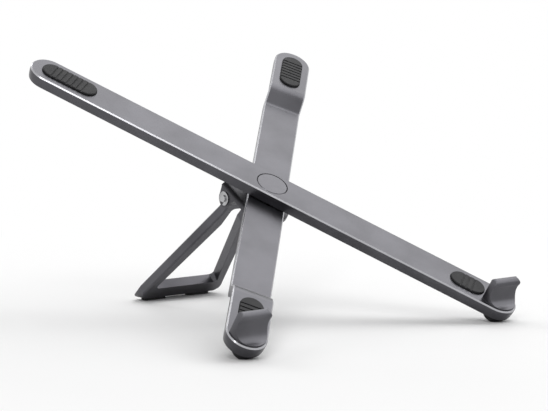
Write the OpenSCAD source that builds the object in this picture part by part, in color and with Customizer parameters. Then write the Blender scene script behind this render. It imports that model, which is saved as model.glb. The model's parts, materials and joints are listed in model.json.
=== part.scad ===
// Foldable laptop stand: two crossing cast arms on a shared pivot, with a folding centre leg.
// The arms lie in a sloping plane. X is to the right, Y to the rear and Z up from the desk.
// Most pieces are built in that plane: x across, y up the slope and z square to it, with z = 0
// on the arms' top faces and y = 0 at the inner faces of the hooks.

/* [Pose] */
// Slope of the arms above the desk, degrees
tilt = 34.8; // [28:0.1:38]
// Angle of each open arm from straight back, degrees
splay = 38.8; // [34:0.1:44]
// Swing of each arm from open to folded, degrees
arm_swing = 31.5; // [20:0.5:32]
// Swing of the leg from stowed to open, degrees
leg_swing = 102.4; // [98:0.1:108]

/* [Arms] */
// Pivot to the round centre of either end of an arm
pivot_to_end = 141; // [138:0.5:160]
// Width of an arm
arm_w = 22.5; // [20:0.1:24]
// Thickness of an arm
arm_t = 6.6; // [6.2:0.1:8]
// Polished chamfer round the top edge
chamfer = 0.7; // [0.3:0.1:1.2]
// Inward draft of the side walls at the bottom edge
draft = 0.7; // [0.2:0.1:1.2]
// Pivot to the start of the lower arm's rise
dip_reach = 94; // [88:0.5:96]
// Slope of the lower arm's rise, degrees
dip_slope = 38; // [30:1:45]
// Radius of the bends of the lower arm, at mid thickness
dip_bend = 8; // [6:0.5:9]
// Level arm left at each end of the rise, clear of the channel and the pads
rise_margin = 3; // [1:0.5:6]

/* [Underside channel] */
// Thickness of the walls beside the channel
channel_wall = 2.4; // [1.8:0.1:3]
// Depth of the channel
channel_depth = 3.4; // [2:0.1:3.8]
// Thickness of the lattice ribs
rib_t = 1.5; // [1:0.1:2.5]
// Spacing of the lattice ribs along an arm
rib_pitch = 17; // [12:0.5:24]
// Pivot to the start of the channel
channel_start = 19; // [17:0.5:26]
// Solid metal left beyond the channel, at a tip's round centre
channel_end = 20; // [16:0.5:30]

/* [Hooks] */
// Hook's inner face behind the centre of the tip
tip_setback = 3; // [1:0.1:6]
// Height of the hook above the arm
hook_h = 13.8; // [8:0.1:20]
// Radius of the hook's round outline
hook_r = 10; // [8:0.1:10.3]
// Thickness of the hook's blade at its lip
hook_t = 4.2; // [3.6:0.1:6]
// Thickness of the blade at its waist, behind the hollow
hook_waist = 3.7; // [2.6:0.1:4]
// Height of the raised seat round the hook
hook_seat = 0.8; // [0.4:0.1:2]
// Radius of the hollow in front of the hook
scoop_r = 7.2; // [4:0.1:7.4]
// Radius along the blade's top edge in front
hook_nose = 2.9; // [1:0.1:3]
// Radius along the blade's top edge behind
hook_edge = 1.2; // [0.5:0.1:1.3]
// Radius of the hook's top corners, seen from the front
hook_corner = 3; // [1:0.1:5]

/* [Silicone] */
// Width of the pads
pad_w = 13; // [9:0.1:15]
// Thickness of the pads
pad_t = 2; // [1.4:0.1:3]
// Depth of the pads' recess
pad_sunk = 0.8; // [0.4:0.1:1.2]
// Chamfer round the pads' top
pad_edge = 0.4; // [0.2:0.1:0.6]
// Gap between a pad and its recess wall
pad_gap = 0.15; // [0.05:0.05:0.3]
// Length of a front pad
front_pad_l = 21; // [15:0.5:24]
// Length of a rear pad
rear_pad_l = 34; // [20:0.5:36]
// Width of the grooves across the pads
groove_w = 1; // [0.6:0.1:1.5]
// Depth of the grooves across the pads
groove_d = 0.5; // [0.2:0.1:0.8]
// Spacing of the grooves across the pads
groove_pitch = 3.2; // [2.4:0.1:5]
// Width of a hook's lining
lining_w = 15; // [10:0.1:17]
// Height of a hook's lining
lining_h = 8.4; // [5:0.1:9]
// Radius of a lining's corners
lining_corner = 2; // [1:0.1:3]
// Height of a lining's lower edge above the seat
lining_lift = 0.5; // [0.3:0.1:1.5]
// Thickness of a hook's lining
lining_t = 1.1; // [0.8:0.1:2]
// Depth of the lining's recess
lining_sunk = 0.8; // [0.4:0.1:1]
// Radius of the foot under a front tip
tip_foot_r = 6; // [4:0.1:7]
// Thickness of the foot under a front tip
tip_foot_t = 4.2; // [3.2:0.1:6]
// Depth of the foot's recess
tip_foot_sunk = 1; // [0.5:0.1:1.5]
// Foot's centre in front of the centre of the tip
tip_foot_ahead = 3; // [2:0.1:4]
// Height of a tip's metal edge above the desk
tip_lift = 0.7; // [0.4:0.1:2]

/* [Pivot] */
// Radius of the pivot screw's shoulder
shoulder_r = 4; // [3:0.05:4.5]
// Running clearance round shafts, on the radius
run_gap = 0.05; // [0.02:0.01:0.1]
// Radius of the pivot screw's head
head_r = 7; // [5.5:0.1:8]
// Thickness of the pivot screw's head
head_t = 2.2; // [1.5:0.1:2.3]
// Width across flats of the screw's hex socket
socket_af = 4; // [3:0.1:6]
// Radius of the pivot cap
cap_r = 9; // [8.5:0.1:10]
// Thickness of the pivot cap
cap_t = 1; // [0.6:0.1:1.1]
// Chamfer round the pivot cap's rim
cap_edge = 0.4; // [0.2:0.1:0.6]
// Radial room round the cap and the head
seat_gap = 0.25; // [0.1:0.05:0.4]
// Thickness of the bearing washers between the arms
bearing_t = 0.5; // [0.3:0.1:1]
// Radius of the bearing washers
bearing_r = 8; // [6.5:0.1:8.1]
// Clearance of the bearing washers round the shoulder, on the radius
bearing_gap = 0.1; // [0.06:0.01:0.2]
// Radius of the screw's thread
thread_r = 2.95; // [2:0.05:3]
// Radius of the stop pin
stop_r = 1.5; // [1:0.1:1.6]
// Pivot to the stop pin
stop_reach = 10; // [9.9:0.1:11]
// Clearance at the stops of the arms and of the leg
stop_gap = 0.3; // [0.2:0.05:0.35]
// Depth of the stop pin's groove in the upper arm
stop_depth = 2.4; // [1.5:0.1:2.6]
// Radius of the flat washer
flat_washer_r = 6; // [5:0.1:7]
// Thickness of the flat washer
flat_washer_t = 1; // [0.6:0.1:1.2]
// Height of the spring washer
spring_washer_t = 1.2; // [0.8:0.1:1.4]
// Radius of the spring washer
spring_washer_r = 5.5; // [5:0.1:6.5]
// Width of the spring washer's two flat faces
spring_face = 1.2; // [0.8:0.1:1.5]
// Width of the nut across its flats
nut_af = 10; // [9:0.1:11]
// Thickness of the nut
nut_t = 4.5; // [3:0.1:5]
// Height of the chamfer round the nut's outer face
nut_chamfer = 0.6; // [0.3:0.1:1]
// Room left round the nut by the stowed leg
nut_clear = 1.5; // [0.8:0.1:3]
// Length of the screw's thread past the nut
thread_past = 0.6; // [0.2:0.1:1]

/* [Leg bracket] */
// Thickness of the bracket's sheet
sheet_t = 2.5; // [2:0.1:2.6]
// Width of the bracket
bracket_w = 31; // [30:0.1:36]
// Radius of the bracket's bends, outside
sheet_bend = 3.2; // [2.8:0.1:4]
// Pivot to the leg's hinge, along the slope
hinge_back = 14.4; // [13.5:0.1:18]
// Hinge's axis below the bracket's plate
hinge_drop = 4.5; // [4.4:0.1:6]
// Radius of the bracket's ears round the hinge
ear_r = 5.2; // [4:0.1:6]
// Widening of the ears in front, toward the plate
ear_flare = 4; // [2:0.5:6]
// Length of the plate behind the ears' round ends
plate_past = 1.5; // [0.5:0.1:3]
// Radius of the hinge pin
pin_r = 2; // [1.5:0.05:2.5]
// Radius of the hinge pin's head
pin_head_r = 3.6; // [3:0.1:4.5]
// Thickness of the hinge pin's head
pin_head_t = 1.2; // [0.8:0.1:2]
// Narrowing of the hinge pin's head toward its end
pin_head_slope = 0.6; // [0.2:0.1:1]
// Length of the pin past its clip
pin_past = 0.8; // [0.4:0.1:1.5]
// Thickness of the pin's retaining clip
clip_t = 0.6; // [0.4:0.1:1]
// Radius of the pin's retaining clip
clip_r = 4; // [3.5:0.1:5]
// Depth of the clip's groove in the pin
clip_groove = 0.5; // [0.3:0.05:0.7]
// Thickness of the washers at the leg's hinge
thrust_t = 0.6; // [0.4:0.1:1]
// Side play at the leg's hinge, each face
side_gap = 0.1; // [0.05:0.05:0.2]

/* [Leg] */
// Thickness of the leg
leg_t = 6; // [4:0.1:7]
// Radius of the leg's hinge barrel
barrel_r = 4; // [3.4:0.1:4.1]
// Width of the leg at its foot
foot_w = 58; // [44:0.5:70]
// Width of the leg's rails
rail_w = 7; // [5:0.1:8]
// Height of the foot bar below the window, along the leg
foot_bar = 15; // [12:0.1:20]
// Ends of the rails' slant below the window, along the leg
knee_drop = 4; // [0:0.5:8]
// Straight neck of the leg past the bracket's ears
neck_past = 6; // [4:0.5:10]
// Solid leg left between the barrel and the window
barrel_web = 3; // [2:0.1:6]
// Length of the heel that stops the open leg, front to back
heel_l = 3; // [2:0.1:3.2]
// Height of the heel
heel_h = 3.2; // [2.6:0.1:3.4]
// Distance of the heel's ends from the barrel's ends
heel_inset = 1.5; // [0.5:0.1:4]
// Chamfer along the leg's outer edges
leg_edge = 0.8; // [0.4:0.1:1.5]
// Radius of the leg's corners at the foot
leg_corner = 5; // [3:0.1:6]
// Radius of the window's corners
window_corner = 2.5; // [1.5:0.1:4]
// Thickness of the leg's silicone feet
leg_foot_t = 1.6; // [1:0.1:3]
// Length of the leg's feet, across the leg
leg_foot_l = 16; // [10:0.5:20]
// Width of the leg's feet, front to back
leg_foot_w = 6.4; // [4:0.1:7]

/* [Hidden] */
$fn = 96;

METAL = "#55565a";
STEEL = "#8f9194";
RUBBER = "#1b1b1d";
NYLON = "#2a2a2c";

arm_r = arm_w / 2;
tip_x = pivot_to_end * sin(splay);
pivot_y = pivot_to_end * cos(splay) - tip_setback;
rear_y = pivot_y + pivot_to_end * cos(splay);

// The frame's origin is on the desk, under the middle of the stand's length
front_edge = -(tip_setback + arm_r) * cos(tilt) + chamfer * sin(tilt);
rear_edge = (rear_y + arm_r - draft) * cos(tilt) + arm_t * sin(tilt);
shift_y = -(front_edge + rear_edge) / 2;
shift_z = (tip_setback + arm_r) * sin(tilt) + arm_t * cos(tilt) + tip_lift;

// Layers down the pivot, square to the slope
dip = arm_t + bearing_t;
lower_top = -dip;
lower_bottom = lower_top - arm_t;
plate_top = lower_bottom - bearing_t;
plate_bottom = plate_top - sheet_t;
head_seat = -(cap_t + head_t + seat_gap);
hinge_y = pivot_y + hinge_back;
hinge_z = plate_bottom - hinge_drop;

// The lower arm's rise, seen from the side
bend_rise = dip_bend * (1 - cos(dip_slope));
ramp_l = (dip - 2 * bend_rise) / sin(dip_slope);
dip_run = 2 * dip_bend * sin(dip_slope) + ramp_l * cos(dip_slope);
dip_end = dip_reach + dip_run;

// The leg: its angle to the desk and its reach from the hinge
leg_fall = 180 - leg_swing - tilt;
hinge_up = shift_z + hinge_y * sin(tilt) + hinge_z * cos(tilt);
hinge_rear = shift_y + hinge_y * cos(tilt) - hinge_z * sin(tilt);
leg_l = hinge_up / sin(leg_fall);
ear_in = bracket_w / 2 - sheet_t;
barrel_half = ear_in - thrust_t - 2 * side_gap;
neck_l = ear_r + neck_past;
nut_corner = nut_af / 2 / cos(30);
nut_room = nut_corner + nut_clear;
far = 400;

// Overlap of straight stretches with the curves that they run into
blend = 0.05;

// Half width of an arm at a depth below its top face
function side_at(d) =
    d < chamfer ? arm_r - chamfer + d
    : arm_r - draft * pow((d - chamfer) / (arm_t - chamfer), 2);

side_steps = 5;
SIDE = concat(
    [[side_at(0), 0]],
    [for (i = [0:side_steps])
        let (d = chamfer + (arm_t - chamfer) * i / side_steps) [side_at(d), -d]]
);

// An arm's cross-section, as points across and up
SECTION = concat(
    SIDE,
    [for (i = [len(SIDE) - 1:-1:0]) [-SIDE[i][0], SIDE[i][1]]]
);

module on_slope() {
    translate([0, shift_y, shift_z]) rotate([tilt, 0, 0]) children();
}

// Turns a right arm's own frame, with y along it from the pivot to its rear end, into the slope
module on_right_arm() {
    on_slope() translate([0, pivot_y, 0]) rotate([0, 0, splay]) children();
}

module on_left_arm() {
    mirror([1, 0, 0]) on_right_arm() children();
}

module on_leg() {
    translate([0, hinge_rear, hinge_up]) rotate([-leg_fall, 0, 0]) children();
}

module bar(from, to) {
    translate([0, to, 0]) rotate([90, 0, 0]) linear_extrude(to - from) polygon(SECTION);
}

module round_end() {
    rotate_extrude() polygon(concat([[0, 0]], SIDE, [[0, -arm_t]]));
}

// One bend of the lower arm, which starts level at the origin and turns up as y grows
module bend(side = 1) {
    translate([0, 0, side * dip_bend - arm_t / 2])
        rotate([0, side > 0 ? 90 : -90, 0])
            rotate_extrude(angle = dip_slope)
                polygon([for (p = SECTION) [dip_bend - side * (p[1] + arm_t / 2), p[0]]]);
}

// The rise from the dipped middle to an end, as y grows from zero
module rise() {
    bend();
    translate([0, dip_bend * sin(dip_slope), bend_rise])
        translate([0, 0, -arm_t / 2])
            rotate([dip_slope, 0, 0])
                translate([0, 0, arm_t / 2])
                    bar(-blend, ramp_l + blend);
    translate([0, dip_run, dip]) mirror([0, 1, 0]) bend(-1);
}

// The bare bar of an arm, straight or dipped round the pivot
module arm_bar(dipped) {
    translate([0, -pivot_to_end, 0]) round_end();
    translate([0, pivot_to_end, 0]) round_end();
    if (dipped) {
        bar(-pivot_to_end, blend - dip_end);
        bar(dip_end - blend, pivot_to_end);
        translate([0, 0, -dip]) {
            bar(-dip_reach - blend, dip_reach + blend);
            for (m = [0, 1]) mirror([0, m, 0]) translate([0, dip_reach, 0]) rise();
        }
    } else {
        bar(-pivot_to_end, pivot_to_end);
    }
}

// A flat-ended slot with round ends, along y and square to it
module stadium(from, to, r, h) {
    translate([0, from + r, 0]) cylinder(r = r, h = h);
    translate([0, to - r, 0]) cylinder(r = r, h = h);
    translate([-r, from + r, 0]) cube([2 * r, to - from - 2 * r, h]);
}

// Channel in an arm's underside between two distances, crossed by lattice ribs
module channel(from, to, bottom) {
    half = arm_r - draft - channel_wall;
    cells = floor((to - from) / rib_pitch);
    step = (to - from) / cells;
    rib_reach = norm([2 * half, step]) / 2 + rib_t;
    difference() {
        translate([-half, from, bottom - 1]) cube([2 * half, to - from, channel_depth + 1]);
        for (i = [0:cells - 1]) {
            lean = (i % 2 == 0 ? 1 : -1) * atan2(2 * half, step);
            translate([0, from + (i + 0.5) * step, bottom - 2])
                rotate([0, 0, -lean])
                    translate([-rib_t / 2, -rib_reach, 0]) cube([rib_t, 2 * rib_reach, channel_depth + 4]);
        }
    }
}

// What is cut off to round the corner of a shape that lies right of the origin and below it
module corner_waste(r) {
    difference() {
        translate([-1, -r]) square([r + 1, r + 1]);
        translate([r, -r]) circle(r = r);
    }
}

// Hook's section, seen along x: the inner face is at y = 0
module hook_section() {
    scoop_y = -hook_waist - scoop_r;
    scoop_z = hook_seat + scoop_r;
    translate([-hook_r - tip_setback, -1]) square([hook_r + tip_setback, hook_seat + 1]);
    difference() {
        union() {
            translate([-hook_t, -1]) square([hook_t, hook_h + 1]);
            translate([scoop_y, 0]) square([-scoop_y, scoop_z]);
        }
        translate([scoop_y, scoop_z]) circle(r = scoop_r);
        translate([-hook_t, hook_h]) corner_waste(hook_nose);
        translate([0, hook_h]) mirror([1, 0]) corner_waste(hook_edge);
    }
}

// Hook's outline seen from the front, which rounds its top corners
module hook_outline() {
    half = hook_r + blend;
    high = hook_h + blend - hook_corner;
    translate([-half, -1]) square([2 * half, high + 1]);
    translate([hook_corner - half, -1]) square([2 * (half - hook_corner), hook_h + 2]);
    for (x = [-1, 1]) translate([x * (half - hook_corner), high]) circle(r = hook_corner);
}

// Hook over a tip, in the slope's directions, with its origin at the tip's round centre
module hook() {
    intersection() {
        translate([-hook_r, tip_setback, 0])
            rotate([90, 0, 90])
                linear_extrude(2 * hook_r) hook_section();
        translate([0, 0, -1]) cylinder(r = hook_r, h = hook_h + 2);
        translate([0, far / 2, 0]) rotate([90, 0, 0]) linear_extrude(far) hook_outline();
    }
}

module lining_shape(grow, from, to) {
    corner = lining_corner + grow;
    half = lining_w / 2 + grow;
    high = lining_h + 2 * grow;
    translate([0, to, hook_seat + lining_lift - grow])
        rotate([90, 0, 0])
            linear_extrude(to - from) {
                translate([-half, corner]) square([2 * half, high - 2 * corner]);
                translate([corner - half, 0]) square([2 * (half - corner), high]);
                for (x = [-1, 1], y = [corner, high - corner])
                    translate([x * (half - corner), y]) circle(r = corner);
            }
}

// Slot that the stop pin runs in, as the arm swings about the pivot
module stop_slot(bottom, h) {
    half = stop_r + stop_gap;
    for (a = [splay - arm_swing, splay])
        rotate([0, 0, -a]) translate([0, -stop_reach, bottom]) cylinder(r = half, h = h);
    rotate([0, 0, -90 - splay])
        translate([0, 0, bottom])
            rotate_extrude(angle = arm_swing)
                translate([stop_reach - half, 0]) square([2 * half, h]);
}

front_pad_from = -(dip_end + rise_margin + front_pad_l);
rear_pad_from = dip_end + rise_margin;

module tip_foot_place() {
    translate([0, -pivot_to_end, 0]) rotate([0, 0, -splay]) translate([0, -tip_foot_ahead, 0]) children();
}

// One arm's casting, in its own frame
module arm_casting(dipped) {
    drop = dipped ? -dip : 0;
    channel_to = dipped ? dip_reach - rise_margin : pivot_to_end - channel_end;
    difference() {
        union() {
            arm_bar(dipped);
            translate([0, -pivot_to_end, 0]) rotate([0, 0, -splay]) hook();
        }
        translate([0, 0, drop - arm_t - 1]) cylinder(r = shoulder_r + run_gap, h = arm_t + 2);
        if (dipped) {
            stop_slot(drop - arm_t - 1, arm_t + 2);
        } else {
            translate([0, 0, head_seat]) cylinder(r = head_r + seat_gap, h = far);
            translate([0, 0, -cap_t]) cylinder(r = cap_r + seat_gap, h = far);
            stop_slot(-arm_t - 1, stop_depth + 1);
        }
        for (m = [0, 1]) mirror([0, m, 0]) channel(channel_start, channel_to, drop - arm_t);
        translate([0, 0, -pad_sunk]) {
            stadium(front_pad_from, front_pad_from + front_pad_l, pad_w / 2, far);
            stadium(rear_pad_from, rear_pad_from + rear_pad_l, pad_w / 2, far);
        }
        tip_foot_place() translate([0, 0, -far - arm_t + tip_foot_sunk]) cylinder(r = tip_foot_r, h = far);
        translate([0, -pivot_to_end, 0])
            rotate([0, 0, -splay])
                translate([0, tip_setback, 0]) lining_shape(pad_gap, -lining_sunk, 1);
    }
}

// Silicone pad with round ends, a chamfered top and fine grooves across it
module pad(from, length) {
    r = pad_w / 2 - pad_gap;
    a = from + pad_gap;
    b = from + length - pad_gap;
    top = pad_t - pad_sunk;
    count = floor((b - a - 2 * r) / groove_pitch);
    first = (a + b - count * groove_pitch) / 2;
    difference() {
        union() {
            for (y = [a + r, b - r])
                translate([0, y, 0])
                    rotate_extrude()
                        polygon([
                            [0, -pad_sunk], [r, -pad_sunk], [r, top - pad_edge],
                            [r - pad_edge, top], [0, top]
                        ]);
            translate([0, b - r, 0])
                rotate([90, 0, 0])
                    linear_extrude(b - a - 2 * r)
                        polygon([
                            [-r, -pad_sunk], [r, -pad_sunk], [r, top - pad_edge],
                            [r - pad_edge, top], [pad_edge - r, top], [-r, top - pad_edge]
                        ]);
        }
        for (i = [0:count])
            translate([-far / 2, first + i * groove_pitch - groove_w / 2, top - groove_d])
                cube([far, groove_w, far]);
    }
}

module tip_foot() {
    intersection() {
        on_right_arm() tip_foot_place()
            translate([0, 0, -arm_t - tip_foot_t])
                cylinder(r = tip_foot_r - pad_gap, h = tip_foot_t + tip_foot_sunk);
        translate([-far, -far, 0]) cube(2 * far);
    }
}

module hook_lining() {
    on_right_arm()
        translate([0, -pivot_to_end, 0])
            rotate([0, 0, -splay])
                translate([0, tip_setback, 0]) lining_shape(0, -lining_sunk, lining_t - lining_sunk);
}

module right_arm() {
    color(METAL) on_right_arm() arm_casting(false);
}

module left_arm() {
    color(METAL) on_left_arm() arm_casting(true);
}

module right_hook_lining() {
    color(RUBBER) hook_lining();
}

module left_hook_lining() {
    color(RUBBER) mirror([1, 0, 0]) hook_lining();
}

module right_front_pad() {
    color(RUBBER) on_right_arm() pad(front_pad_from, front_pad_l);
}

module left_front_pad() {
    color(RUBBER) on_left_arm() pad(front_pad_from, front_pad_l);
}

module right_rear_pad() {
    color(RUBBER) on_right_arm() pad(rear_pad_from, rear_pad_l);
}

module left_rear_pad() {
    color(RUBBER) on_left_arm() pad(rear_pad_from, rear_pad_l);
}

module right_tip_foot() {
    color(RUBBER) tip_foot();
}

module left_tip_foot() {
    color(RUBBER) mirror([1, 0, 0]) tip_foot();
}

module at_pivot() {
    on_slope() translate([0, pivot_y, 0]) children();
}

module ring(r, bore, from, to) {
    translate([0, 0, from]) difference() {
        cylinder(r = r, h = to - from);
        translate([0, 0, -1]) cylinder(r = bore, h = to - from + 2);
    }
}

// Shoulder screw: the shoulder ends on the bracket's plate, and the thread goes on through it
nut_bottom = plate_bottom - flat_washer_t - spring_washer_t - nut_t;

module pivot_screw() {
    color(STEEL) at_pivot() difference() {
        union() {
            translate([0, 0, head_seat]) cylinder(r = head_r, h = head_t);
            translate([0, 0, plate_top]) cylinder(r = shoulder_r, h = head_seat - plate_top + 1);
            translate([0, 0, nut_bottom - thread_past])
                cylinder(r = thread_r, h = plate_top - nut_bottom + thread_past + 1);
        }
        translate([0, 0, head_seat + head_t / 3]) cylinder(r = socket_af / 2 / cos(30), h = far, $fn = 6);
    }
}

module pivot_cap() {
    color(METAL) at_pivot() rotate_extrude()
        polygon([[0, -cap_t], [cap_r, -cap_t], [cap_r, -cap_edge], [cap_r - cap_edge, 0], [0, 0]]);
}

module upper_bearing_washer() {
    color(NYLON) at_pivot() ring(bearing_r, shoulder_r + bearing_gap, -dip, -arm_t);
}

module lower_bearing_washer() {
    color(NYLON) at_pivot() ring(bearing_r, shoulder_r + bearing_gap, plate_top, lower_bottom);
}

module stop_pin() {
    top = -arm_t + stop_depth - stop_gap;
    color(STEEL) at_pivot()
        translate([0, -stop_reach, plate_bottom]) cylinder(r = stop_r, h = top - plate_bottom);
}

// Sheet bracket: a plate under the arms, with an ear bent down at each side for the leg's hinge
module leg_bracket() {
    half = bracket_w / 2;
    tail = hinge_back + ear_r + plate_past;
    low = hinge_z - ear_r;
    color(METAL) at_pivot() difference() {
        intersection() {
            union() {
                translate([0, 0, plate_bottom]) cylinder(r = half, h = sheet_t);
                translate([-half, 0, plate_bottom]) cube([bracket_w, tail, sheet_t]);
                for (x = [-half, ear_in]) {
                    translate([x, hinge_back, hinge_z])
                        rotate([0, 90, 0]) cylinder(r = ear_r, h = sheet_t);
                    translate([x, hinge_back, hinge_z])
                        rotate([90, 0, 90])
                            linear_extrude(sheet_t)
                                polygon([
                                    [-ear_r, 0], [ear_r, 0],
                                    [tail - hinge_back, hinge_drop + sheet_t],
                                    [-ear_r - ear_flare, hinge_drop + sheet_t]
                                ]);
                }
            }
            translate([0, far / 2, 0]) rotate([90, 0, 0]) linear_extrude(far) {
                translate([-half, low - 1]) square([bracket_w, plate_top - sheet_bend - low + 1]);
                translate([sheet_bend - half, low]) square([bracket_w - 2 * sheet_bend, plate_top - low]);
                for (x = [-1, 1])
                    translate([x * (half - sheet_bend), plate_top - sheet_bend]) circle(r = sheet_bend);
            }
        }
        translate([0, 0, plate_bottom - 1]) cylinder(r = thread_r + run_gap, h = sheet_t + 2);
        translate([0, -stop_reach, plate_bottom - 1]) cylinder(r = stop_r, h = sheet_t + 2);
        translate([-far / 2, hinge_back, hinge_z])
            rotate([0, 90, 0]) cylinder(r = pin_r + run_gap, h = far);
    }
}

module flat_washer() {
    color(STEEL) at_pivot()
        ring(flat_washer_r, thread_r + run_gap, plate_bottom - flat_washer_t, plate_bottom);
}

// Coned spring washer, with its narrow face on the nut
module spring_washer() {
    top = plate_bottom - flat_washer_t;
    bore = thread_r + run_gap;
    step = spring_washer_t / 2;
    color(STEEL) at_pivot() rotate_extrude()
        polygon([
            [bore, top - spring_washer_t], [bore + spring_face, top - spring_washer_t],
            [spring_washer_r, top - step], [spring_washer_r, top],
            [spring_washer_r - spring_face, top], [bore, top - step]
        ]);
}

module pivot_nut() {
    face_r = nut_af / 2 - blend;
    color(STEEL) at_pivot() translate([0, 0, nut_bottom]) difference() {
        intersection() {
            cylinder(r = nut_corner, h = nut_t, $fn = 6);
            rotate_extrude()
                polygon([
                    [0, 0], [face_r, 0], [nut_corner + blend, nut_chamfer],
                    [nut_corner + blend, nut_t], [0, nut_t]
                ]);
        }
        translate([0, 0, -1]) cylinder(r = thread_r + run_gap, h = nut_t + 2);
    }
}

// The leg's blank plate, flat with chamfered sides: y runs from the hinge to the foot
module leg_plate() {
    module neck(inset) {
        half = barrel_half - inset;
        translate([-half, 0]) square([2 * half, neck_l + 1]);
    }
    module flare(inset) {
        half = barrel_half - inset;
        wide = foot_w / 2 - inset;
        low = leg_l + leg_t;
        knee = leg_l - foot_bar + knee_drop;
        polygon([[-half, neck_l], [half, neck_l], [wide, knee], [wide, low], [-wide, low], [-wide, knee]]);
    }
    hull() {
        linear_extrude(leg_t, center = true) neck(leg_edge);
        linear_extrude(leg_t - 2 * leg_edge, center = true) neck(0);
    }
    hull() {
        linear_extrude(leg_t, center = true) flare(leg_edge);
        linear_extrude(leg_t - 2 * leg_edge, center = true) flare(0);
    }
}

// Window between the rails, with round corners, which clears the pivot's nut when stowed
module leg_window() {
    c = window_corner;
    wide = foot_w / 2 - rail_w;
    top = barrel_r + barrel_web;
    throat = hinge_back + nut_room;
    low = leg_l - foot_bar;
    polygon([
        [-nut_room, top + c], [c - nut_room, top], [nut_room - c, top], [nut_room, top + c],
        [nut_room, throat], [wide, low - c], [wide - c, low], [c - wide, low], [-wide, low - c],
        [-nut_room, throat]
    ]);
    for (x = [-1, 1]) {
        translate([x * (nut_room - c), top + c]) circle(r = c);
        translate([x * (wide - c), low - c]) circle(r = c);
    }
}

// The leg's front view from the desk pads up, with round corners at the foot
module leg_front() {
    half = foot_w / 2 + blend;
    translate([-half, leg_foot_t + leg_corner]) square([2 * half, far]);
    translate([leg_corner - half, leg_foot_t]) square([2 * (half - leg_corner), far]);
    for (x = [-1, 1])
        translate([x * (half - leg_corner), leg_foot_t + leg_corner]) circle(r = leg_corner);
}

module leg_frame() {
    heel_half = barrel_half - heel_inset;
    heel_from = (pin_r + barrel_r) / 2;
    color(METAL) difference() {
        intersection() {
            union() {
                on_leg() {
                    difference() {
                        leg_plate();
                        linear_extrude(2 * leg_t, center = true) leg_window();
                    }
                    translate([-barrel_half, 0, 0])
                        rotate([0, 90, 0]) cylinder(r = barrel_r, h = 2 * barrel_half);
                }
                // Heel that meets the bracket's plate when the leg is open
                on_slope() translate([-heel_half, hinge_y + heel_from, plate_bottom - stop_gap - heel_h])
                    cube([2 * heel_half, heel_l, heel_h]);
            }
            translate([0, far, 0]) rotate([90, 0, 0]) linear_extrude(2 * far) leg_front();
        }
        on_leg() translate([-far / 2, 0, 0]) rotate([0, 90, 0]) cylinder(r = pin_r + run_gap, h = far);
    }
}

module on_hinge() {
    on_slope() translate([0, hinge_y, hinge_z]) rotate([0, 90, 0]) children();
}

clip_at = bracket_w / 2 + side_gap;

module leg_pin() {
    pin_end = clip_at + clip_t + pin_past;
    color(STEEL) on_hinge() difference() {
        union() {
            translate([0, 0, -pin_end]) cylinder(r = pin_r, h = pin_end + bracket_w / 2 + 1);
            translate([0, 0, bracket_w / 2])
                cylinder(r1 = pin_head_r, r2 = pin_head_r - pin_head_slope, h = pin_head_t);
        }
        mirror([0, 0, 1]) ring(pin_r + 1, pin_r - clip_groove, clip_at, clip_at + clip_t);
    }
}

module leg_washers() {
    color(NYLON) on_hinge()
        for (m = [0, 1]) mirror([0, 0, m])
            ring(barrel_r, pin_r + run_gap, barrel_half + side_gap, barrel_half + side_gap + thrust_t);
}

// Open clip snapped into the pin's groove
module pin_clip() {
    bore = pin_r - clip_groove;
    mouth = 1.6 * bore;
    color(STEEL) on_hinge() mirror([0, 0, 1]) difference() {
        ring(clip_r, bore, clip_at, clip_at + clip_t);
        translate([0, -mouth / 2, clip_at - 1]) cube([far, mouth, clip_t + 2]);
    }
}

module leg_foot() {
    middle = hinge_rear + (hinge_up - leg_foot_t) / tan(leg_fall);
    r = leg_foot_w / 2;
    far_x = foot_w / 2 - leg_corner;
    translate([0, middle, 0]) rotate([0, 0, -90])
        stadium(far_x - leg_foot_l, far_x, r, leg_foot_t);
}

module right_leg_foot() {
    color(RUBBER) leg_foot();
}

module left_leg_foot() {
    color(RUBBER) mirror([1, 0, 0]) leg_foot();
}

right_arm();
left_arm();
right_hook_lining();
left_hook_lining();
right_front_pad();
left_front_pad();
right_rear_pad();
left_rear_pad();
right_tip_foot();
left_tip_foot();
pivot_screw();
pivot_cap();
upper_bearing_washer();
lower_bearing_washer();
stop_pin();
leg_bracket();
flat_washer();
spring_washer();
pivot_nut();
leg_frame();
leg_pin();
leg_washers();
pin_clip();
right_leg_foot();
left_leg_foot();
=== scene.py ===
import json
import math

import bpy
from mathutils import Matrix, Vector

# The frame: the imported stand, in metres
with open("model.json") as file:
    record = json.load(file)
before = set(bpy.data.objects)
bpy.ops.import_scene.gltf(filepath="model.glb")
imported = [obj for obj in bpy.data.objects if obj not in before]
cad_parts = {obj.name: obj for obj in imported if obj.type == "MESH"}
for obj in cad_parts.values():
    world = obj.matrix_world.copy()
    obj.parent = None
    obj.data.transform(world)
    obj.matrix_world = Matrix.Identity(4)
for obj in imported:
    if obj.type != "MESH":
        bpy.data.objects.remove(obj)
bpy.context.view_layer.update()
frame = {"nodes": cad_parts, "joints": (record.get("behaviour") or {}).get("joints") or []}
NODES = frame["nodes"]
JOINTS = {joint["name"]: joint for joint in frame["joints"]}

# The arms' plane, the pivot and the leg's hinge, read from the joints
SLOPE_UP = Vector(JOINTS["left_arm_fold"]["axis"]).normalized()
PIVOT = Vector(JOINTS["left_arm_fold"]["pos_m"])
HINGE = Vector(JOINTS["leg_fold"]["pos_m"])
TILT = math.acos(SLOPE_UP.z)

# The leg's pin lies level, across the stand
HINGE_AXIS = Vector((1, 0, 0))

# Angle of each open arm from straight back
SPLAY = math.radians(38.8)

# Height of the arms' top faces, measured square to their slope
ARM_TOP = SLOPE_UP.dot(PIVOT)

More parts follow.
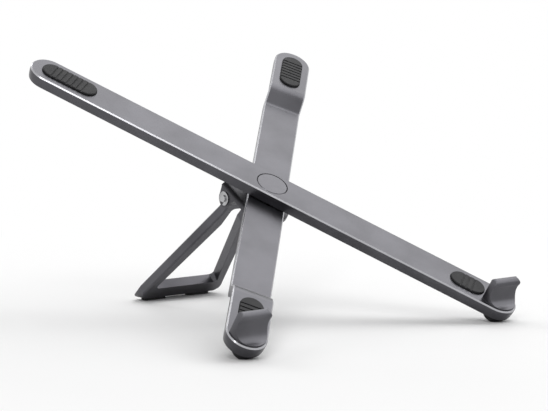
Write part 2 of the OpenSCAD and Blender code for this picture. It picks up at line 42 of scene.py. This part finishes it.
# The camera stands where the photograph's did and looks at the middle of the stand
CAMERA_PLACE = Vector((-0.6896, -0.8631, 0.1864))
CAMERA_AIM = Vector((0.001, -0.002, 0.063))
CAMERA_LENS = 130.0
CAMERA_SENSOR = 36.0
CAMERA_CLIP = (0.05, 50.0)

# Soft boxes: place, aim, width and length, watts
LAMPS = {
    "overhead": ((0.75, 0.25, 1.35), (0, 0, 0.05), (1.6, 1.4), 12.5),
    "key": ((-0.9, -0.8, 1.3), (0, 0, 0.05), (0.6, 0.6), 5.0),
    "back": ((-0.3, 1.4, 1.0), (0, 0, 0.08), (1.2, 0.5), 5.0),
    "right": ((1.2, -0.7, 0.95), (0, 0, 0.05), (1.0, 1.0), 5.0),
}

# Light that the surround gives, where plain white to look at is 1
WORLD_LIGHT = 0.42

# The floor, and the distances from the middle where it starts and ends its fade to plain white
FLOOR_RADIUS = 9.0
FLOOR_FADE = (0.14, 0.42)
FLOOR_ROUGH = 0.7
FLOOR_SHINE = 0.2

# Linear colours
WHITE = (1.0, 1.0, 1.0, 1.0)
FLOOR_COLOURS = ((0.90, 0.90, 0.90), (0.93, 0.93, 0.93))
GREY_METAL = (0.087, 0.086, 0.094)
SHEET_METAL = (0.070, 0.069, 0.075)
CHAMFER_METAL = (0.40, 0.40, 0.42)
SILICONE = (0.012, 0.012, 0.013)
STEEL = (0.42, 0.42, 0.43)
NYLON = (0.022, 0.022, 0.024)

# Usual roughness of the metals, and lowest and highest roughness of the others
CAST_ROUGH = 0.34
LEG_ROUGH = 0.37
SHEET_ROUGH = 0.42
CAP_ROUGH = 0.26
STEEL_ROUGH = 0.24
CHAMFER_ROUGH = 0.22
SILICONE_ROUGH = (0.52, 0.66)
NYLON_ROUGH = (0.42, 0.52)

# Strength of the silicone's reflections
SILICONE_SHINE = 0.22

# Scales of the noise that makes each surface, in waves per metre
CAST_GRAIN = 5200.0
CAST_CLOUD = 38.0
SILICONE_GRAIN = 3600.0
SILICONE_BLOOM = 120.0
STEEL_RINGS = 4200.0
STEEL_STAIN = 260.0
NYLON_GRAIN = 2400.0
FLOOR_CLOUD = 6.0

# Values that most of a noise lies between
NOISE_SPAN = (0.3, 0.7)

# Heights of the bumps that the noise makes
CAST_BUMP = 0.00004
SILICONE_BUMP = 0.00005
STEEL_BUMP = 0.00003
NYLON_BUMP = 0.00004

# Radii that edges look rounded by
CAST_EDGE = 0.00025
SILICONE_EDGE = 0.0003
SMALL_EDGE = 0.00015

# How the arms' chamfer is told from other faces: cosine of its lean and how far off that may be,
# the least that its side faces turn up, and how far above the arm's top it may lie
CHAMFER_LEAN = math.cos(math.radians(45))
LEAN_TOLERANCE = 0.035
LEAST_RISE = 0.4
TOP_TOLERANCE = 0.00002

# The cast hooks look rounder toward their tops: heights above the arm where this starts and is
# full, and how far faces turn up there
HOOK_LEAN_HEIGHTS = (0.004, 0.011)
HOOK_LEAN = 0.45


def shade(colour, factor):
    """A colour made lighter or darker."""
    return tuple(part * factor for part in colour)


class Nodes:
    """A material's node tree, with short calls to add and join its nodes."""

    def __init__(self, name):
        self.material = bpy.data.materials.new(name)
        self.material.use_nodes = True
        self.tree = self.material.node_tree
        self.shader = self.tree.nodes["Principled BSDF"]

    def add(self, kind, **settings):
        made = self.tree.nodes.new(kind)
        for key, value in settings.items():
            setattr(made, key, value)
        return made

    def join(self, source, target):
        self.tree.links.new(source, target)

    def put(self, socket, value):
        """Sets a socket to a plain value, or joins another node's output to it."""
        if isinstance(value, bpy.types.NodeSocket):
            self.join(value, socket)
        else:
            socket.default_value = value

    def set(self, name, value):
        """Sets or joins an input of the shader."""
        self.put(self.shader.inputs[name], value)

    def maths(self, operation, a, b=0.0):
        node = self.add("ShaderNodeMath", operation=operation)
        self.put(node.inputs[0], a)
        self.put(node.inputs[1], b)
        return node.outputs[0]

    def close_to(self, value, target, tolerance):
        """1 where a value lies within a tolerance of another one, and 0 elsewhere."""
        result = self.maths("COMPARE", value, target)
        result.node.inputs[2].default_value = tolerance
        return result

    def vector_maths(self, operation, a, b=None):
        node = self.add("ShaderNodeVectorMath", operation=operation)
        self.put(node.inputs[0], a)
        if b is not None:
            self.put(node.inputs[1], b)
        return node

    def dot(self, vector, axis):
        return self.vector_maths("DOT_PRODUCT", vector, tuple(axis)).outputs["Value"]

    def place(self):
        return self.add("ShaderNodeTexCoord").outputs["Object"]

    def noise(self, scale, detail=3.0, rough=0.6):
        node = self.add("ShaderNodeTexNoise")
        node.inputs["Scale"].default_value = scale
        node.inputs["Detail"].default_value = detail
        node.inputs["Roughness"].default_value = rough
        self.join(self.place(), node.inputs["Vector"])
        return node.outputs["Fac"]

    def ramp(self, value, span=NOISE_SPAN, result=(0.0, 1.0)):
        node = self.add("ShaderNodeMapRange")
        self.put(node.inputs["Value"], value)
        node.inputs["From Min"].default_value, node.inputs["From Max"].default_value = span
        node.inputs["To Min"].default_value, node.inputs["To Max"].default_value = result
        return node.outputs["Result"]

    def mix(self, factor, a, b):
        node = self.add("ShaderNodeMix", data_type="RGBA")
        self.put(node.inputs["Factor"], factor)
        for socket, value in ((node.inputs["A"], a), (node.inputs["B"], b)):
            self.put(socket, value if isinstance(value, bpy.types.NodeSocket) else (*value, 1.0))
        return node.outputs["Result"]

    def leaning(self, normal, toward, amount):
        """A normal that leans toward a direction by a varying amount."""
        push = self.vector_maths("SCALE", tuple(toward))
        self.put(push.inputs["Scale"], amount)
        total = self.vector_maths("ADD", normal, push.outputs[0])
        return self.vector_maths("NORMALIZE", total.outputs[0]).outputs[0]

    def bump(self, height, strength, distance, normal):
        """Gives the shader bumps as high as a distance, on top of a normal."""
        node = self.add("ShaderNodeBump")
        self.put(node.inputs["Strength"], strength)
        node.inputs["Distance"].default_value = distance
        self.join(height, node.inputs["Height"])
        self.join(normal, node.inputs["Normal"])
        self.set("Normal", node.outputs["Normal"])

    def soft_edges(self, radius):
        node = self.add("ShaderNodeBevel", samples=6)
        node.inputs["Radius"].default_value = radius
        return node.outputs["Normal"]


def height_on_slope(m):
    """Height of a point, measured square to the arms' slope."""
    return m.dot(m.place(), SLOPE_UP)


def chamfer_mask(m, across):
    """1 on the faces that lean 45 degrees off the arm's top, along its sides and round its ends."""
    face = m.add("ShaderNodeNewGeometry").outputs["True Normal"]
    turned = m.add(
        "ShaderNodeVectorTransform", vector_type="NORMAL", convert_from="WORLD", convert_to="OBJECT"
    )
    m.join(face, turned.inputs[0])
    normal = turned.outputs[0]
    up = m.dot(normal, SLOPE_UP)
    side = m.maths("ABSOLUTE", m.dot(normal, across))
    on_slope = m.close_to(up, CHAMFER_LEAN, LEAN_TOLERANCE)
    on_side = m.close_to(side, CHAMFER_LEAN, LEAN_TOLERANCE)
    rising = m.maths("GREATER_THAN", up, LEAST_RISE)
    either = m.maths("MAXIMUM", on_slope, m.maths("MULTIPLY", on_side, rising))
    under_top = m.maths("LESS_THAN", height_on_slope(m), ARM_TOP + TOP_TOLERANCE)
    return m.maths("MULTIPLY", either, under_top)


def hook_lean(m):
    """How far the hooks' faces look turned up, which grows toward their tops."""
    heights = tuple(ARM_TOP + height for height in HOOK_LEAN_HEIGHTS)
    return m.ramp(height_on_slope(m), heights, (0.0, HOOK_LEAN))


def metal(name, colour, rough, grain=0.35, chamfer_across=None):
    """Dark satin anodised metal: fine blasted grain, faint cloudiness, an arm's polished chamfer."""
    m = Nodes(name)
    grains = m.noise(CAST_GRAIN, 4.0, 0.7)
    cloud = m.noise(CAST_CLOUD, 3.0, 0.5)
    tone = m.mix(m.ramp(cloud, (0.35, 0.65)), shade(colour, 0.86), shade(colour, 1.22))
    tone = m.mix(m.ramp(grains, (0.35, 0.7), (0.0, 0.25)), tone, shade(colour, 1.6))
    roughness = m.ramp(cloud, result=(rough - 0.04, rough + 0.05))
    normal = m.soft_edges(CAST_EDGE)
    if chamfer_across is not None:
        normal = m.leaning(normal, SLOPE_UP, hook_lean(m))
        mask = chamfer_mask(m, chamfer_across)
        tone = m.mix(mask, tone, CHAMFER_METAL)
        roughness = m.maths("SUBTRACT", roughness, m.maths("MULTIPLY", mask, rough - CHAMFER_ROUGH))
        grain = m.maths("MULTIPLY", m.maths("SUBTRACT", 1.0, mask), grain)
    m.set("Base Color", tone)
    m.set("Roughness", roughness)
    m.set("Metallic", 1.0)
    m.bump(grains, grain, CAST_BUMP, normal)
    return m.material


def silicone(name):
    """Matt black silicone with a faint dusty bloom."""
    m = Nodes(name)
    grain = m.noise(SILICONE_GRAIN)
    bloom = m.noise(SILICONE_BLOOM)
    m.set("Base Color", m.mix(m.ramp(bloom, (0.3, 0.75)), SILICONE, shade(SILICONE, 2.2)))
    m.set("Roughness", m.ramp(bloom, result=SILICONE_ROUGH))
    m.set("Specular IOR Level", SILICONE_SHINE)
    m.bump(grain, 0.3, SILICONE_BUMP, m.soft_edges(SILICONE_EDGE))
    return m.material


def turned_steel(name, centre, axis):
    """Turned steel: fine rings round an axis, with small changes of gloss."""
    m = Nodes(name)
    offset = m.vector_maths("SUBTRACT", m.place(), tuple(centre)).outputs[0]
    length = m.vector_maths("LENGTH", offset).outputs["Value"]
    along = m.dot(offset, axis)
    squared = m.maths("SUBTRACT", m.maths("POWER", length, 2.0), m.maths("POWER", along, 2.0))
    radius = m.maths("SQRT", m.maths("MAXIMUM", squared, 0.0))
    rings = m.add("ShaderNodeTexNoise", noise_dimensions="1D")
    rings.inputs["Scale"].default_value = STEEL_RINGS
    rings.inputs["Detail"].default_value = 2.0
    m.join(m.maths("ADD", radius, m.maths("MULTIPLY", along, 0.7)), rings.inputs["W"])
    stain = m.noise(STEEL_STAIN)
    m.set("Base Color", m.mix(m.ramp(stain), shade(STEEL, 0.8), shade(STEEL, 1.1)))
    m.set("Roughness", m.ramp(stain, result=(STEEL_ROUGH - 0.05, STEEL_ROUGH + 0.08)))
    m.set("Metallic", 1.0)
    m.bump(rings.outputs["Fac"], 0.3, STEEL_BUMP, m.soft_edges(SMALL_EDGE))
    return m.material


def nylon(name):
    """Dark moulded nylon."""
    m = Nodes(name)
    grain = m.noise(NYLON_GRAIN)
    m.set("Base Color", m.mix(m.ramp(grain), NYLON, shade(NYLON, 1.7)))
    m.set("Roughness", m.ramp(grain, result=NYLON_ROUGH))
    m.bump(grain, 0.2, NYLON_BUMP, m.soft_edges(SMALL_EDGE))
    return m.material


def across_arm(side):
    """The level direction square to an open arm: side is 1 for the right arm and -1 for the left."""
    lean = side * math.sin(SPLAY)
    return Vector((math.cos(SPLAY), lean * math.cos(TILT), lean * math.sin(TILT)))


def dress():
    """Gives every CAD node its material."""
    silicone_look = silicone("silicone_black")
    nylon_look = nylon("nylon_dark")
    pivot_steel = turned_steel("pivot_steel", PIVOT, SLOPE_UP)
    hinge_steel = turned_steel("hinge_steel", HINGE, HINGE_AXIS)
    looks = {
        "right_arm": metal("right_arm_metal", GREY_METAL, CAST_ROUGH, chamfer_across=across_arm(1)),
        "left_arm": metal("left_arm_metal", GREY_METAL, CAST_ROUGH, chamfer_across=across_arm(-1)),
        "pivot_cap": metal("cap_metal", GREY_METAL, CAP_ROUGH),
        "leg_frame": metal("leg_metal", GREY_METAL, LEG_ROUGH),
        "leg_bracket": metal("bracket_metal", SHEET_METAL, SHEET_ROUGH, grain=0.5),
    }
    for name in ("pivot_screw", "stop_pin", "flat_washer", "spring_washer", "pivot_nut"):
        looks[name] = pivot_steel
    for name in ("leg_pin", "pin_clip"):
        looks[name] = hinge_steel
    for name in ("upper_bearing_washer", "lower_bearing_washer", "leg_washers"):
        looks[name] = nylon_look
    for name, node in NODES.items():
        look = looks.get(name, silicone_look)
        if not node.material_slots:
            node.data.materials.append(look)
        for slot in node.material_slots:
            slot.material = look


def aimed(name, data, place, aim):
    """A camera or a lamp at a place, turned to look at another one."""
    made = bpy.data.objects.new(name, data)
    made.location = place
    made.rotation_mode = "QUATERNION"
    made.rotation_quaternion = (Vector(aim) - Vector(place)).to_track_quat("-Z", "Y")
    bpy.context.scene.collection.objects.link(made)
    return made


def camera():
    data = bpy.data.cameras.new("camera")
    data.lens = CAMERA_LENS
    data.sensor_width = CAMERA_SENSOR
    data.clip_start, data.clip_end = CAMERA_CLIP
    bpy.context.scene.camera = aimed("camera", data, CAMERA_PLACE, CAMERA_AIM)


def lamps():
    for name, (place, aim, size, power) in LAMPS.items():
        data = bpy.data.lights.new(name, "AREA")
        data.shape = "RECTANGLE"
        data.size, data.size_y = size
        data.energy = power
        aimed(name, data, place, aim)


def seen_directly(tree):
    """1 for what the camera sees, also in a reflection or through something clear."""
    path = tree.nodes.new("ShaderNodeLightPath")
    seen = path.outputs["Is Camera Ray"]
    for name in ("Is Glossy Ray", "Is Transmission Ray"):
        either = tree.nodes.new("ShaderNodeMath")
        either.operation = "MAXIMUM"
        tree.links.new(seen, either.inputs[0])
        tree.links.new(path.outputs[name], either.inputs[1])
        seen = either.outputs[0]
    return seen


def surround():
    """A world that is white to look at and lights the stand softly."""
    world = bpy.data.worlds.new("studio")
    bpy.context.scene.world = world
    world.use_nodes = True
    tree = world.node_tree
    strength = tree.nodes.new("ShaderNodeMapRange")
    strength.inputs["To Min"].default_value = WORLD_LIGHT
    strength.inputs["To Max"].default_value = 1.0
    tree.links.new(seen_directly(tree), strength.inputs["Value"])
    background = tree.nodes["Background"]
    background.inputs["Color"].default_value = WHITE
    tree.links.new(strength.outputs["Result"], background.inputs["Strength"])


def floor():
    """A pale floor that holds the stand's shadow and turns to plain white away from it."""
    m = Nodes("floor_white")
    m.set("Base Color", m.mix(m.noise(FLOOR_CLOUD, 4.0, 0.5), *FLOOR_COLOURS))
    m.set("Roughness", FLOOR_ROUGH)
    m.set("Specular IOR Level", FLOOR_SHINE)
    distance = m.vector_maths("LENGTH", m.place()).outputs["Value"]
    away = m.ramp(distance, FLOOR_FADE)
    away.node.interpolation_type = "SMOOTHSTEP"
    white = m.add("ShaderNodeEmission")
    white.inputs["Color"].default_value = WHITE
    white.inputs["Strength"].default_value = 1.0
    blend = m.add("ShaderNodeMixShader")
    m.join(m.maths("MULTIPLY", away, seen_directly(m.tree)), blend.inputs["Fac"])
    m.join(m.shader.outputs["BSDF"], blend.inputs[1])
    m.join(white.outputs["Emission"], blend.inputs[2])
    m.join(blend.outputs["Shader"], m.tree.nodes["Material Output"].inputs["Surface"])
    bpy.ops.mesh.primitive_circle_add(
        vertices=96, radius=FLOOR_RADIUS, fill_type="NGON", location=(0, 0, 0)
    )
    made = bpy.context.object
    made.name = "floor"
    made.data.materials.append(m.material)


camera()
dress()
surround()
floor()
lamps()
bpy.context.scene.view_settings.view_transform = "Standard"
